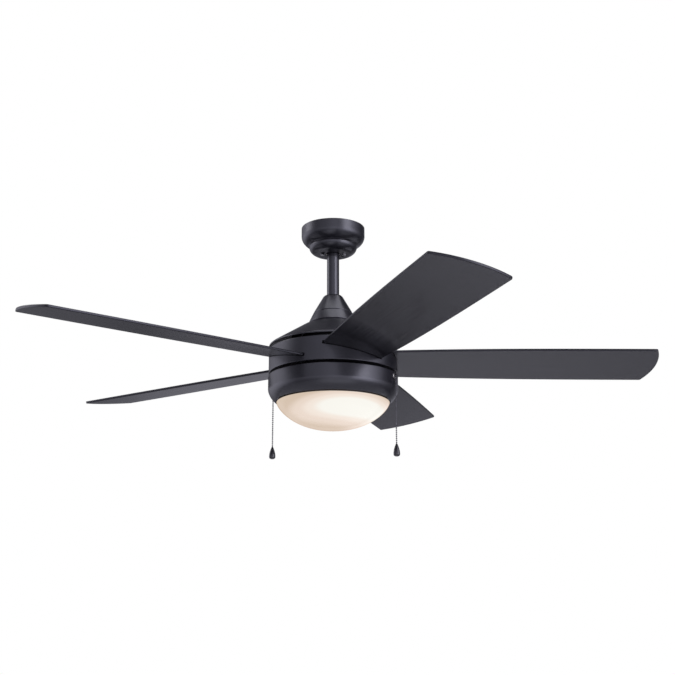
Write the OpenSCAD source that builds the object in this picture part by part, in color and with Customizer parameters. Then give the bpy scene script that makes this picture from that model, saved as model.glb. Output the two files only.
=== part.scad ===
// Five-blade ceiling fan with a bowl light, hung on a downrod from a hanger ball.
// Millimetres. The origin is the centre of the ceiling plane, +Z is up, so the fan hangs below zero.
// The first blade points along +X.

/* [Blades] */
// Diameter of the circle that the blade tips sweep
sweep_d = 1320; // [1100:2:1600]
// Width of a blade where it enters the housing
blade_root_w = 123; // [100:1:132]
// Width of a blade over its outer half
blade_tip_w = 144.5; // [110:0.5:170]
// Thickness of a blade
blade_t = 5; // [4:0.5:7]
// Pitch of a blade, its leading edge up
blade_pitch = 10.3; // [6:0.1:13]
// How far the tip's middle stands out past its corners
tip_rise = 13; // [6:1:30]
// How far a blade reaches into the housing
blade_inset = 43; // [36:1:46]

/* [Motor housing] */
// Outer diameter of the spinning blade ring
housing_d = 262; // [250:1:320]
// Height of the blade ring
ring_h = 49; // [46:1:70]
// Running gap above and below the blade ring
ring_gap = 5.6; // [4:0.2:10]
// Sheet thickness of the spun housings
sheet = 1.5; // [1:0.1:2]
// Height of the top cover's neck
neck_h = 21.5; // [20:0.5:40]
// Radius of the neck where the shoulder starts
neck_r = 51; // [46:1:58]
// Height of the top cover's sloping shoulder
shoulder_h = 48; // [40:1:70]
// Height of the top cover's upright lip
lip_h = 5; // [3:0.5:10]

/* [Motor] */
// Outer radius of the motor's shells
motor_r = 86; // [78:1:90]
// Height of the motor
motor_h = 52; // [48:1:56]
// Outer radius of the hollow motor shaft
shaft_r = 8.5; // [8:0.5:10]
// Bore radius of the motor shaft
shaft_bore_r = 5; // [4.6:0.1:6]
// Radius of the stator
stator_r = 70; // [60:1:72]
// Thickness of the stator stack
stack_h = 15; // [10:1:18]
// Radial air gap between stator and rotor
air_gap = 0.6; // [0.4:0.1:1]
// Wall of the cast motor shells
cast_wall = 3; // [2.5:0.5:4]
// Radial size of a bearing, from shaft to housing
bearing_t = 11.5; // [10:0.5:13]
// Width of a bearing
bearing_w = 12; // [10:1:13]

/* [Downrod] */
// Outer diameter of the downrod
rod_d = 25.4; // [21:0.1:28]
// Wall of the downrod
rod_wall = 2; // [1.5:0.1:3]
// Drop from the ceiling to the top of the yoke cover
yoke_drop = 149; // [130:1:900]
// Height of the yoke cover
yoke_h = 38; // [34:1:50]
// Radius of the hanger ball
ball_r = 25.4; // [23:0.1:28]

/* [Canopy] */
// Diameter of the canopy
canopy_d = 132.4; // [125:0.2:170]
// Height of the canopy's upright wall
canopy_side_h = 17; // [10:1:40]
// Height of the canopy's curved part
canopy_curve_h = 23; // [22:0.5:40]
// Outer radius of the canopy cover
cover_r = 50; // [46:0.5:53]
// Height of the canopy cover
cover_h = 15.5; // [13:0.5:18]
// Radius of the hole that the rod passes through
rod_hole_clear = 3.1; // [2.5:0.1:4]

/* [Mounting bracket] */
// Distance between the centres of the ceiling screw slots
slot_spacing = 80; // [70:1:86]
// Length of each ceiling screw slot
slot_len = 24; // [12:1:28]
// Width of each ceiling screw slot
slot_w = 5.5; // [4.5:0.1:6.5]
// Length of the bracket's ceiling plate
plate_len = 112; // [100:1:118]
// Width of the bracket's ceiling plate
plate_w = 34; // [28:1:40]
// Thickness of the bracket's steel
bracket_t = 2; // [1.5:0.1:3]

/* [Light kit] */
// Height of the light pan's upright wall
pan_side_h = 26.6; // [24:0.2:50]
// Height of the light pan's rounded lower edge
pan_curve_h = 21.5; // [16:0.1:24]
// How far the pan stands out past the blade ring
pan_proud = 0.7; // [0:0.1:3]
// How far the pan's rim comes in from its wall
pan_rim_in = 16.8; // [14:0.1:18]
// Gap between the pan's rim and the glass
glass_gap = 3.9; // [3.6:0.1:5]
// Depth of the glass bowl below the pan
bowl_depth = 59; // [56:1:90]
// Thickness of the glass
glass_t = 3.2; // [2.5:0.1:5]
// Radius of a lamp's globe
globe_r = 24; // [18:1:25]
// Distance between the two lamps
lamp_spacing = 60; // [56:1:66]

/* [Pull chains] */
// Direction of the fan chain's outlet, counted from the first blade
chain_angle = -24; // [-40:1:40]
// Drop of the chain outlets below the top of the pan
outlet_drop = 9; // [8:0.5:14]
// Diameter of a bead
bead_d = 3.2; // [2.4:0.1:3.6]
// Distance between beads
bead_pitch = 4.06; // [3.8:0.01:4.8]
// Beads that hang below the fan's outlet
fan_beads = 34; // [20:1:120]
// Beads that hang below the light's outlet
light_beads = 31; // [20:1:120]
// Height of a pull
fob_h = 26; // [18:1:40]
// Diameter of a pull
fob_d = 13; // [9:0.5:18]

/* [Hidden] */
$fn = 96;
BLADES = 5;
STEP_A = 360 / BLADES;

// finish colours
BLACK = [0.09, 0.09, 0.11];
STEEL = [0.62, 0.63, 0.65];
ZINC = [0.70, 0.71, 0.72];
CAST = [0.66, 0.66, 0.67];
COPPER = [0.72, 0.40, 0.20];
PLASTIC = [0.10, 0.10, 0.11];
OPAL = [0.95, 0.89, 0.80];

// clearances
slip = 0.05;       // a screw or pin in its hole, each side
pressed = 0.01;    // a part pressed onto the motor shaft
play = 0.3;        // loose pieces that only have to pass
ceiling_gap = 1;   // canopy rim below the ceiling
seam = 0.4;        // between two covers that meet

// levels, from the ceiling down
canopy_curve_z = -ceiling_gap - canopy_side_h;
canopy_end_z = canopy_curve_z - canopy_curve_h;
cover_top_z = canopy_end_z - seam;
cover_z = cover_top_z - cover_h;
ball_z = cover_z + ball_r - 2;
yoke_z = -yoke_drop;
yoke_end_z = yoke_z - yoke_h;
neck_z = yoke_end_z - seam;
shoulder_z = neck_z - neck_h;
lip_z = shoulder_z - shoulder_h;
cover_end_z = lip_z - lip_h;
ring_z = cover_end_z - ring_gap;
ring_end_z = ring_z - ring_h;
blade_z = ring_z - ring_h / 2 - 0.9;
pan_z = ring_end_z - ring_gap;
pan_curve_z = pan_z - pan_side_h;
rim_z = pan_curve_z - pan_curve_h;
bowl_end_z = rim_z - bowl_depth;
motor_end_z = blade_z + 13;
motor_z = motor_end_z + motor_h;
motor_mid_z = (motor_z + motor_end_z) / 2;

// radii
housing_r = housing_d / 2;
pan_r = housing_r + pan_proud;
rim_r = pan_r - pan_rim_in;
bowl_r = rim_r - glass_gap;
bulge_r = rim_r - 0.6;
rod_r = rod_d / 2;
canopy_r = canopy_d / 2;
cover_hole_r = rod_r + rod_hole_clear;
cover_flat_r = cover_r - 17.5;
bearing_r = shaft_r + bearing_t;
rotor_in_r = stator_r + air_gap;
shell_in_r = motor_r - 4;

// coupling and deck
coupling_top_z = yoke_z - 9;
rod_end_z = yoke_z - 41;
coupling_r = rod_r + 6.3;
deck_z = yoke_end_z - 18;
flange_r = coupling_r + 15;
flange_t = 5;
flange_end_z = deck_z - sheet - flange_t;
shaft_top_z = rod_end_z - 4;
clevis_z = yoke_z - 27;
clevis_r = 3.2;
deck_screw_r = coupling_r + 8;

// hanger ball and bracket
seat_clear = 0.1;
seat_z = cover_z + 4.9;
leg_x = ball_r + 8.6;
canopy_screw_x = ball_r - 2.4;
wire_hole_r = 10;
ball_pin_z = ball_z + 3;

// blades and irons
tip_r = sweep_d / 2;
tip_corner_s = tip_r - tip_rise;
blade_in_s = housing_r - blade_inset;
taper_end_s = tip_corner_s;
iron_t = 2.5;
iron_w = 28;
iron_in_s = 34;
iron_flat_s = motor_r - 18;
iron_pad_s = blade_in_s - 4;
iron_pad_end_s = blade_in_s + 28;
iron_pad_w = 56;
blade_hole_at = [[7, 0], [21, 20], [21, -20]];
screw_r = 2.1;
slot_room = 0.8;
post_r = 6;
post_at_r = 62;

// light kit
plate_t = 2.5;
switch_plate_r = 48;
pan_screw_r = 38;
nut_h = 6.8;
reflector_z = pan_z - 30.8;
reflector_t = 1.2;
lamp_z = rim_z - 13.8;
socket_x = -62;
socket_len = 34;
socket_r = 17;
cap_r = 13.2;
globe_x = globe_r - 2;
collar_h = 9;
collar_z = rim_z + 1.8 + collar_h + play;
tab_angle = 14;
twist = 20;
outlet_z = pan_z - outlet_drop;
outlet_len = 1.4;
bush_r = 3.2;
bush_bore_r = bead_d / 2 + 0.5;
chain_r = pan_r + outlet_len + bead_d / 2 + 0.3;
reverse_z = pan_z - 14;
reverse_travel = 5;
reverse_in = 19;

// ---------------------------------------------------------------- helpers

function unit(v) = v / norm(v);
function inward(a, b) = let (d = unit(b - a)) [d[1], -d[0]];
function point_inward(p, i) =
  i == 0 ? inward(p[0], p[1]) :
  i == len(p) - 1 ? inward(p[i - 1], p[i]) :
  let (n1 = inward(p[i - 1], p[i]), n2 = inward(p[i], p[i + 1]), s = unit(n1 + n2)) s / (s * n1);
function inset(p, t) = [for (i = [0:len(p) - 1]) p[i] + t * point_inward(p, i)];
function reversed(p) = [for (i = [len(p) - 1:-1:0]) p[i]];

// part of an ellipse, or of a fuller curve when power is over 1
function curve(cr, cz, rr, rz, a0, a1, n, power = 1) =
  [for (i = [0:n]) let (a = a0 + (a1 - a0) * i / n)
    [cr + rr * pow(cos(a), power), cz - rz * pow(sin(a), power)]];

// a spun sheet-metal shell: its outer line runs from the top down
module spun(line, t) {
  rotate_extrude() polygon(concat(line, reversed(inset(line, t))));
}

module tube(r_out, r_in, top, h) {
  difference() {
    translate([0, 0, top - h]) cylinder(r = r_out, h = h);
    translate([0, 0, top - h - 1]) cylinder(r = r_in, h = h + 2);
  }
}

module down(r, top, h) {
  translate([0, 0, top - h]) cylinder(r = r, h = h);
}

module around(n, start = 0) {
  for (i = [0:n - 1]) rotate([0, 0, start + 360 * i / n]) children();
}

// a pan-head screw whose head faces down, its head seated at z = 0
module screw_up(r, len, head_r, head_h) {
  union() {
    cylinder(r = r, h = len);
    translate([0, 0, -head_h]) difference() {
      cylinder(r = head_r, h = head_h);
      for (a = [0, 90]) rotate([0, 0, a]) translate([-head_r * 0.6, -0.5, -0.1]) cube([head_r * 1.2, 1, head_h * 0.5]);
    }
  }
}

module screw_down(r, len, head_r, head_h) {
  mirror([0, 0, 1]) screw_up(r, len, head_r, head_h);
}

// puts its children in the frame of blade i, pitched, with s along X
module on_blade(i) {
  rotate([0, 0, STEP_A * (i - 1)]) translate([0, 0, blade_z]) rotate([-blade_pitch, 0, 0]) children();
}

// puts its children in the frame of blade i, level, at the ceiling's height
module at_blade(i) {
  rotate([0, 0, STEP_A * (i - 1)]) children();
}

module wire(points, r) {
  for (k = [0:len(points) - 2]) {
    a = points[k];
    d = points[k + 1] - a;
    translate(a) rotate([0, acos(d[2] / norm(d)), atan2(d[1], d[0])]) cylinder(r = r, h = norm(d));
    if (k > 0) translate(a) sphere(r = r * 1.08);
  }
}

// ---------------------------------------------------------------- ceiling mount

module mounting_bracket() {
  leg_h = -seat_z - bracket_t;
  color(ZINC) difference() {
    union() {
      difference() {
        translate([-plate_len / 2, -plate_w / 2, -bracket_t]) cube([plate_len, plate_w, bracket_t]);
        for (s = [-1, 1]) translate([s * slot_spacing / 2, 0, -bracket_t - 1]) {
          translate([-(slot_len - slot_w) / 2, -slot_w / 2, 0]) cube([slot_len - slot_w, slot_w, bracket_t + 2]);
          for (e = [-1, 1]) translate([e * (slot_len - slot_w) / 2, 0, 0]) cylinder(r = slot_w / 2, h = bracket_t + 2);
        }
        translate([0, 0, -bracket_t - 1]) cylinder(r = wire_hole_r, h = bracket_t + 2);
      }
      for (s = [0, 1]) mirror([s, 0, 0]) {
        translate([leg_x, -12, -leg_h - bracket_t]) cube([bracket_t, 24, leg_h]);
        translate([ball_r - 1, -12, seat_z]) cube([leg_x + bracket_t - ball_r + 1, 24, bracket_t]);
      }
      translate([0, 0, seat_z]) cylinder(r = ball_r + 1.6, h = 9);
      translate([-leg_x - bracket_t, -2, ball_z - 1]) cube([leg_x + bracket_t - ball_r + 2, 4, bracket_t]);
    }
    translate([0, 0, ball_z]) difference() {
      sphere(r = ball_r + seat_clear);
      translate([-ball_r - 5, -2, -1]) cube([7, 4, bracket_t]);
    }
    translate([-rod_r - 1, 0, seat_z - 1]) cube([rod_d + 2, ball_r + 4, 12]);
    down(rod_r + 2.6, seat_z + 5, 7);
    for (s = [-1, 1]) translate([s * canopy_screw_x, 0, seat_z - 1]) cylinder(r = 1.75 + slip, h = 6.6);
  }
}

function canopy_line() = concat(
  [[canopy_r, -ceiling_gap], [canopy_r, canopy_curve_z]],
  [for (p = curve(cover_r - 11.5, canopy_curve_z, canopy_r - cover_r + 11.5, canopy_curve_h, 0, 90, 18))
    if (p[0] > cover_r + 1 && p[0] < canopy_r - 0.01) p],
  [[cover_r - 0.6, canopy_end_z + 0.4]]);

module canopy() {
  color(BLACK) union() {
    spun(canopy_line(), sheet);
    tube(cover_r - 1, cover_r - 7.5, canopy_end_z + sheet + 0.4, sheet);
  }
}

module canopy_cover() {
  line = concat(
    curve(cover_flat_r, cover_top_z, cover_r - cover_flat_r, cover_h, 0, 90, 12),
    [[cover_hole_r, cover_z]]);
  color(BLACK) difference() {
    spun(line, sheet);
    for (s = [0, 180]) rotate([0, 0, s]) {
      translate([canopy_screw_x, 0, cover_z - 1]) cylinder(r = 1.75 + play, h = sheet + 2);
      rotate([0, 0, 24]) translate([canopy_screw_x, 0, cover_z - 1]) cylinder(r = 4.4, h = sheet + 2);
      rotate([0, 0, 12]) translate([canopy_screw_x - 2, -5, cover_z - 1]) cube([4, 10, sheet + 2]);
    }
  }
}

module canopy_screws() {
  color(STEEL) for (s = [-1, 1])
    translate([s * canopy_screw_x, 0, cover_z]) screw_up(1.75, seat_z - cover_z + 3.4, 4, 2.4);
}

// ---------------------------------------------------------------- ball, rod and coupling

module hanger_ball() {
  color(PLASTIC) difference() {
    translate([0, 0, ball_z]) sphere(r = ball_r);
    down(ball_r + 2, ball_z - ball_r * 0.8, ball_r);
    down(ball_r + 2, ball_z + ball_r * 0.5 + ball_r, ball_r);
    down(rod_r + slip, ball_z + ball_r + 1, 2 * ball_r + 2);
    translate([0, ball_r + 1, ball_pin_z]) rotate([90, 0, 0]) cylinder(r = 3 + slip, h = 2 * ball_r + 2);
    translate([0, 0, ball_z - 7]) rotate([0, 90, 0]) cylinder(r = 2.5 + slip, h = ball_r + 1);
    translate([-ball_r - 1, -2.6, ball_z - 4]) cube([4.5, 5.2, 9]);
  }
}

module ball_pin() {
  color(STEEL) translate([0, ball_r - 3.4, ball_pin_z]) rotate([90, 0, 0]) cylinder(r = 3, h = 2 * ball_r - 6.8);
}

module ball_set_screw() {
  color(STEEL) difference() {
    translate([rod_r, 0, ball_z - 7]) rotate([0, 90, 0]) cylinder(r = 2.5, h = ball_r - rod_r - 3);
    translate([ball_r - 5, 0, ball_z - 7]) rotate([0, 90, 0]) cylinder(r = 1.3, h = 4, $fn = 6);
  }
}

module downrod() {
  color(BLACK) difference() {
    tube(rod_r, rod_r - rod_wall, ball_z + ball_r * 0.5 - 1, ball_z + ball_r * 0.5 - 1 - rod_end_z);
    translate([0, rod_r + 1, ball_pin_z]) rotate([90, 0, 0]) cylinder(r = 3 + slip, h = rod_d + 2);
    translate([-rod_r - 1, 0, clevis_z]) rotate([0, 90, 0]) cylinder(r = clevis_r + slip, h = rod_d + 2);
  }
}

module yoke_cover() {
  color(BLACK) spun([
    [rod_r + 0.9, yoke_z], [rod_r + 4.6, yoke_z], [rod_r + 6.6, yoke_z - 0.9], [rod_r + 7.7, yoke_z - 2.8],
    [neck_r - 10.5, yoke_end_z]], sheet);
}

module coupling() {
  color(CAST) difference() {
    union() {
      down(coupling_r, coupling_top_z, coupling_top_z - deck_z + sheet);
      down(flange_r, deck_z - sheet, flange_t);
    }
    down(rod_r + slip, coupling_top_z + 1, coupling_top_z + 1 - rod_end_z);
    down(shaft_r + pressed, rod_end_z + 1, rod_end_z - flange_end_z + 2);
    translate([-coupling_r - 1, 0, clevis_z]) rotate([0, 90, 0]) cylinder(r = clevis_r + slip, h = 2 * coupling_r + 2);
    for (s = [-1, 1]) translate([0, 0, coupling_top_z - 8]) rotate([s * 90, 0, 0])
      cylinder(r = 2.5 + slip, h = coupling_r + 1);
    around(3) translate([deck_screw_r, 0, flange_end_z - 1]) cylinder(r = 2 + slip, h = flange_t + 2);
  }
}

module clevis_pin() {
  color(STEEL) difference() {
    union() {
      translate([-coupling_r - 1, 0, clevis_z]) rotate([0, 90, 0]) cylinder(r = clevis_r, h = 2 * coupling_r + 6);
      translate([-coupling_r - 2.6, 0, clevis_z]) rotate([0, 90, 0]) cylinder(r = 4.8, h = 2.4);
    }
    translate([coupling_r + 2.5, 0, clevis_z - 8]) cylinder(r = 0.9 + slip, h = 16);
  }
}

module cotter_pin() {
  color(ZINC) translate([coupling_r + 2.5, 0, clevis_z]) union() {
    translate([0, 0, -7]) cylinder(r = 0.9, h = 12);
    translate([0, 0, 7.2]) rotate([0, 90, 0]) rotate_extrude() translate([2.4, 0]) circle(r = 0.9);
  }
}

module coupling_set_screws() {
  color(STEEL) for (s = [-1, 1]) translate([0, 0, coupling_top_z - 8]) rotate([s * 90, 0, 0])
    difference() {
      translate([0, 0, rod_r]) cylinder(r = 2.5, h = coupling_r - rod_r + 1.5);
      translate([0, 0, coupling_r]) cylinder(r = 1.3, h = 4, $fn = 6);
    }
}

// ---------------------------------------------------------------- fixed motor parts

function top_cover_line() = [
  [neck_r - 10.3, neck_z], [neck_r, shoulder_z], [housing_r - 1.5, lip_z],
  [housing_r - 0.4, lip_z - 0.9], [housing_r, lip_z - 2.2], [housing_r, cover_end_z]];

module top_cover() {
  deck_edge_r = neck_r - 10.3 + 10.3 * (neck_z - deck_z) / neck_h - 0.8;
  color(BLACK) difference() {
    union() {
      spun(top_cover_line(), sheet);
      tube(deck_edge_r, coupling_r + play, deck_z, sheet);
    }
    around(3) translate([deck_screw_r, 0, deck_z - sheet - 1]) cylinder(r = 2.3, h = sheet + 2);
  }
}

// three hold the top cover to the coupling, and three the light pan to its plate
module cover_screws() {
  len = sheet + flange_t - 0.5;
  color(STEEL) union() {
    around(3) translate([deck_screw_r, 0, deck_z]) screw_down(2, len, 3.8, 2.2);
    around(3) translate([pan_screw_r, 0, pan_z - sheet - plate_t]) screw_up(2, len, 3.8, 2.2);
  }
}

module motor_shaft() {
  color(STEEL) tube(shaft_r, shaft_bore_r, shaft_top_z, shaft_top_z - (pan_z - 15));
}

module slot_shape(room) {
  translate([stator_r - 26 - room, -3.4 - room]) square([20 + 2 * room, 6.8 + 2 * room]);
}

module stator_core() {
  color(STEEL) translate([0, 0, motor_mid_z - stack_h / 2]) linear_extrude(height = stack_h) difference() {
    circle(r = stator_r);
    circle(r = shaft_r + pressed);
    for (i = [0:15]) rotate(i * 22.5) {
      slot_shape(0);
      translate([stator_r - 8, -1.2]) square([10, 2.4]);
    }
  }
}

module stator_windings() {
  color(COPPER) union() {
    for (s = [0, 1]) translate([0, 0, motor_mid_z]) mirror([0, 0, s]) translate([0, 0, stack_h / 2])
      rotate_extrude() polygon([
        [stator_r - 26, 0], [stator_r - 6, 0], [stator_r - 6, 4], [stator_r - 9, 7],
        [stator_r - 23, 7], [stator_r - 26, 4]]);
    translate([0, 0, motor_mid_z - stack_h / 2 - 0.5]) linear_extrude(height = stack_h + 1)
      for (i = [0:15]) rotate(i * 22.5) slot_shape(-0.2);
  }
}

// the two bearings sit flush with the motor's ends
module at_bearings() {
  translate([0, 0, motor_z - bearing_w]) children();
  translate([0, 0, motor_end_z]) children();
}

ball_pitch_r = shaft_r + bearing_t / 2;
bearing_ball_r = bearing_t * 0.29;
race_t = bearing_t * 0.3;

module race(r_in, r_out) {
  difference() {
    tube(r_out, r_in, bearing_w, bearing_w);
    translate([0, 0, bearing_w / 2]) rotate_extrude() translate([ball_pitch_r, 0]) circle(r = bearing_ball_r + slip);
  }
}

module bearing_inner_races() {
  color(STEEL) at_bearings() race(shaft_r + pressed, shaft_r + race_t);
}

module bearing_outer_races() {
  color(STEEL) at_bearings() race(bearing_r - race_t, bearing_r);
}

module bearing_balls() {
  color(STEEL) at_bearings() around(8) translate([ball_pitch_r, 0, bearing_w / 2]) sphere(r = bearing_ball_r);
}

// ---------------------------------------------------------------- spinning motor parts

module rotor_core() {
  color(STEEL) translate([0, 0, motor_mid_z]) rotate_extrude() polygon([
    [rotor_in_r, -stack_h / 2], [rotor_in_r + 2, -stack_h / 2 - 3], [shell_in_r - 2, -stack_h / 2 - 3],
    [shell_in_r, -stack_h / 2], [shell_in_r, stack_h / 2], [shell_in_r - 2, stack_h / 2 + 3],
    [rotor_in_r + 2, stack_h / 2 + 3], [rotor_in_r, stack_h / 2]]);
}

shell_screw_r = motor_r + 4.2;

// one motor shell, its web up, cut at the motor's middle
module motor_shell() {
  half = motor_h / 2;
  difference() {
    union() {
      rotate_extrude() polygon([
        [bearing_r, half], [motor_r - 20, half], [motor_r, half - 14], [motor_r, 0], [shell_in_r, 0],
        [shell_in_r, half - 15.2], [motor_r - 21.6, half - cast_wall], [bearing_r + 4, half - cast_wall],
        [bearing_r + 4, half - bearing_w - 1], [bearing_r, half - bearing_w - 1]]);
      around(4, 45) translate([shell_screw_r, 0, 0]) cylinder(r = 5.2, h = 11);
    }
    around(4, 45) translate([shell_screw_r, 0, -1]) cylinder(r = 2 + slip, h = 13);
    cylinder(r = shell_in_r, h = half - 16);
  }
}

module rotor_top_shell() {
  color(CAST) translate([0, 0, motor_mid_z]) motor_shell();
}

module rotor_bottom_shell() {
  color(CAST) difference() {
    union() {
      translate([0, 0, motor_mid_z]) mirror([0, 0, 1]) motor_shell();
      around(BLADES, STEP_A / 2) translate([post_at_r, 0, 0])
        down(post_r, motor_end_z + 1, motor_end_z + 1 - ring_end_z - sheet);
    }
    around(BLADES, STEP_A / 2) translate([post_at_r, 0, 0]) down(1.9 + slip, ring_end_z + 14, 15);
    for (i = [1:BLADES]) at_blade(i) for (s = [iron_in_s + 9, iron_flat_s - 10])
      translate([s, 0, motor_end_z - 1]) cylinder(r = screw_r + slip, h = cast_wall + 2);
  }
}

module shell_screws() {
  color(STEEL) around(4, 45) translate([shell_screw_r, 0, motor_mid_z - 11]) screw_up(2, 21.5, 3.6, 2.2);
}

// ---------------------------------------------------------------- blade ring, irons and blades

module blade_ring() {
  color(BLACK) difference() {
    rotate_extrude() polygon([
      [housing_r - 9, ring_z], [housing_r - 1.5, ring_z], [housing_r - 0.4, ring_z - 0.4],
      [housing_r, ring_z - 1.5], [housing_r, ring_end_z + 1.5], [housing_r - 0.4, ring_end_z + 0.4],
      [housing_r - 1.5, ring_end_z], [switch_plate_r - 18, ring_end_z], [switch_plate_r - 18, ring_end_z + sheet],
      [housing_r - sheet, ring_end_z + sheet], [housing_r - sheet, ring_z - sheet], [housing_r - 9, ring_z - sheet]]);
    for (i = [1:BLADES]) on_blade(i) translate([blade_in_s + 10, -blade_root_w / 2 - slot_room - 0.5, -blade_t / 2 - slot_room])
      cube([blade_inset, blade_root_w + 2 * slot_room + 1, blade_t + 2 * slot_room]);
    around(BLADES, STEP_A / 2) translate([post_at_r, 0, ring_end_z - 1]) cylinder(r = 2.3, h = sheet + 2);
  }
}

module ring_screws() {
  color(STEEL) around(BLADES, STEP_A / 2) translate([post_at_r, 0, ring_end_z]) screw_up(1.9, 13, 3.6, 2);
}

module blade_iron(i) {
  color(STEEL) difference() {
    union() {
      at_blade(i) translate([iron_in_s, -iron_w / 2, motor_end_z - iron_t])
        cube([iron_pad_s + 9 - iron_in_s, iron_w, iron_t]);
      at_blade(i) translate([iron_pad_s - 5, -iron_w / 2 + 1, blade_z])
        cube([13, iron_w - 2, motor_end_z - blade_z - 1]);
      on_blade(i) translate([iron_pad_s, -iron_pad_w / 2, blade_t / 2])
        cube([iron_pad_end_s - iron_pad_s, iron_pad_w, iron_t]);
    }
    on_blade(i) translate([iron_pad_s - 20, -iron_pad_w, blade_t / 2 - 20]) cube([60, 2 * iron_pad_w, 20]);
    at_blade(i) for (s = [iron_in_s + 9, iron_flat_s - 10])
      translate([s, 0, motor_end_z - iron_t - 1]) cylinder(r = screw_r + slip, h = iron_t + 2);
    on_blade(i) for (p = blade_hole_at)
      translate([blade_in_s + p[0], p[1], blade_t / 2 - 1]) cylinder(r = screw_r + slip, h = iron_t + 2);
  }
}

module iron_screws() {
  color(STEEL) for (i = [1:BLADES]) at_blade(i) for (s = [iron_in_s + 9, iron_flat_s - 10])
    translate([s, 0, motor_end_z - iron_t]) screw_up(screw_r, iron_t + cast_wall - 0.5, 3.8, 2.4);
}

// half the blade's width at a distance s from the shaft
function half_w(s) = let (u = max(0, min(1, (taper_end_s - s) / (taper_end_s - housing_r))))
  blade_tip_w / 2 - (blade_tip_w - blade_root_w) / 2 * pow(u, 3);

function blade_side() = concat(
  [[blade_in_s, blade_root_w / 2 - 14], [blade_in_s + 20, half_w(housing_r) - 0.4]],
  [for (k = [0:11]) let (s = housing_r + (taper_end_s - housing_r) * k / 12) [s, half_w(s)]],
  [[tip_corner_s - 4, blade_tip_w / 2], [tip_corner_s - 1, blade_tip_w / 2 - 0.8],
   [tip_corner_s + 0.6, blade_tip_w / 2 - 3.4]]);

// the tip is an arc through its two corners and its middle
function tip_arc() = let (
  c = blade_tip_w / 2 - 3.4, h = tip_r - tip_corner_s - 0.6, r = (c * c + h * h) / (2 * h), a = asin(c / r))
  [for (k = [1:13]) let (b = a - 2 * a * k / 14) [tip_r - r + r * cos(b), r * sin(b)]];

module blade(i) {
  side = blade_side();
  color(BLACK) on_blade(i) difference() {
    translate([0, 0, -blade_t / 2]) linear_extrude(height = blade_t)
      polygon(concat(side, tip_arc(), [for (p = reversed(side)) [p[0], -p[1]]]));
    for (p = blade_hole_at) translate([blade_in_s + p[0], p[1], -blade_t]) cylinder(r = 2.4, h = 2 * blade_t);
  }
}

module blade_screws() {
  color(STEEL) for (i = [1:BLADES]) on_blade(i) for (p = blade_hole_at)
    translate([blade_in_s + p[0], p[1], -blade_t / 2]) screw_up(screw_r, blade_t + iron_t - 0.3, 4.2, 2.4);
}

// ---------------------------------------------------------------- light kit

module switch_plate() {
  color(ZINC) difference() {
    down(switch_plate_r, pan_z - sheet, plate_t);
    down(shaft_r + slip, pan_z, plate_t + 4);
    around(3) translate([pan_screw_r, 0, 0]) down(2.3, pan_z, plate_t + 4);
  }
}

module shaft_nut() {
  color(STEEL) difference() {
    translate([0, 0, pan_z - sheet - plate_t - nut_h]) cylinder(r = shaft_r + 5, h = nut_h, $fn = 6);
    down(shaft_r + slip, pan_z, 20);
  }
}

// the pan's outer line, from its roof down round to its rim
function pan_line() = concat(
  [[22, pan_z], [pan_r - 1.5, pan_z], [pan_r - 0.4, pan_z - 0.4], [pan_r, pan_z - 1.5], [pan_r, pan_curve_z]],
  [for (p = curve(pan_r - 25.6, pan_curve_z, 25.6, pan_curve_h * 1.325, 0, 90, 22, 1.2))
    if (p[0] > rim_r + 0.6 && p[0] < pan_r - 0.01) p],
  [[rim_r, rim_z]]);

module pan_outlet() {
  translate([pan_r - 6, 0, outlet_z]) rotate([0, 90, 0]) cylinder(r = bush_r + play, h = 12);
}

module light_pan() {
  color(BLACK) difference() {
    union() {
      spun(pan_line(), sheet);
      difference() {
        tube(rim_r + 3.6, rim_r - 0.4, rim_z + 1.8, sheet);
        for (k = [0:2]) rotate([0, 0, twist + 120 * k]) translate([rim_r - 4, -rim_r * tan(tab_angle / 2 + 1), rim_z - 1])
          cube([8.5, 2 * rim_r * tan(tab_angle / 2 + 1), 4]);
      }
    }
    rotate([0, 0, chain_angle]) pan_outlet();
    rotate([0, 0, chain_angle + 180]) pan_outlet();
    rotate([0, 0, 90]) translate([pan_r - 6, -6.5, reverse_z - 2.6]) cube([10, 13, 5.2]);
    around(3) translate([pan_screw_r, 0, pan_z - sheet - 1]) cylinder(r = 2 + slip, h = sheet + 2);
  }
}

// a pull switch, with its threaded bush through the pan's wall
module pull_switch(len, wide, tall) {
  box_r = pan_r - 13;
  difference() {
    union() {
      translate([box_r - len, -wide / 2, outlet_z - tall + 5.5]) cube([len, wide, tall]);
      translate([box_r - 1, 0, outlet_z]) rotate([0, 90, 0]) cylinder(r = bush_r, h = pan_r + outlet_len - box_r + 1);
    }
    translate([box_r - 8, 0, outlet_z]) rotate([0, 90, 0]) cylinder(r = bush_bore_r, h = 40);
  }
}

// the length of chain that each switch holds inside its bush
module chain_stubs() {
  color(STEEL) for (a = [chain_angle, chain_angle + 180]) rotate([0, 0, a]) union() {
    for (k = [1:4]) translate([chain_r - k * bead_pitch, 0, outlet_z]) sphere(r = bead_d / 2, $fn = 32);
    translate([chain_r - 4 * bead_pitch - 4, 0, outlet_z]) rotate([0, 90, 0]) cylinder(r = 0.5, h = 3 * bead_pitch + 4);
  }
}

module speed_switch() {
  color(PLASTIC) rotate([0, 0, chain_angle]) pull_switch(26, 34, 25);
}

module light_switch() {
  color(PLASTIC) rotate([0, 0, chain_angle + 180]) pull_switch(20, 24, 22);
}

module capacitor() {
  color(PLASTIC) rotate([0, 0, 40]) difference() {
    translate([62, -24, pan_z - sheet - 20]) cube([26, 48, 19]);
    translate([67, -27, pan_z - sheet - 14]) cube([16, 6, 7]);
  }
}

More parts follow.
